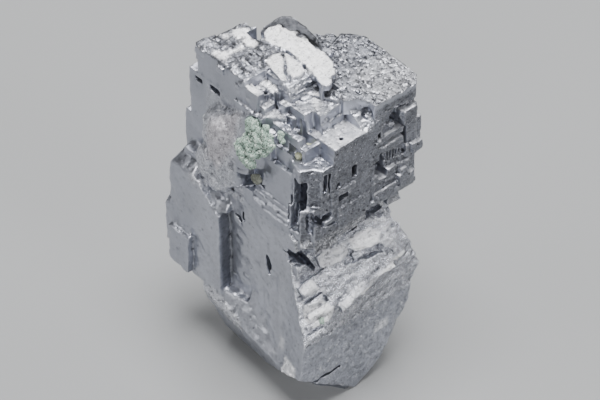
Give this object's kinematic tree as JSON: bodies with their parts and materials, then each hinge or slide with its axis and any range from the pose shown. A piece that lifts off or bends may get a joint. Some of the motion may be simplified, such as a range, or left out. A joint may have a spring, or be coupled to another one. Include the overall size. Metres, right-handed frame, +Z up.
{
  "type": "skeletal galena crystal specimen",
  "caption": "Intergrown lead-grey skeletal galena crystals with stepped faces, small openings and a crust of pale green mineral, resting on a flat foot.",
  "frame": {"origin": "middle of the bounding box in plan, on the flat foot", "axes": "+Z up from the flat foot; +X along the right-hand front faces of the crystals; +Y along the left-hand front faces"},
  "size_m": [0.0376, 0.0452, 0.0731],
  "materials": {
    "galena": "satin metallic lead grey, with brighter rough tops",
    "green_crust": "matt, finely lumpy pale green",
    "pale_grains": "matt pale yellow-green"
  },
  "bodies": {
    "root": {"galena_crystals": "galena", "green_crust": "green_crust", "green_patch": "green_crust", "green_speck": "green_crust", "olive_grain": "pale_grains", "pale_grain_near": "pale_grains", "pale_grain_far": "pale_grains"}
  },
  "joints": []
}
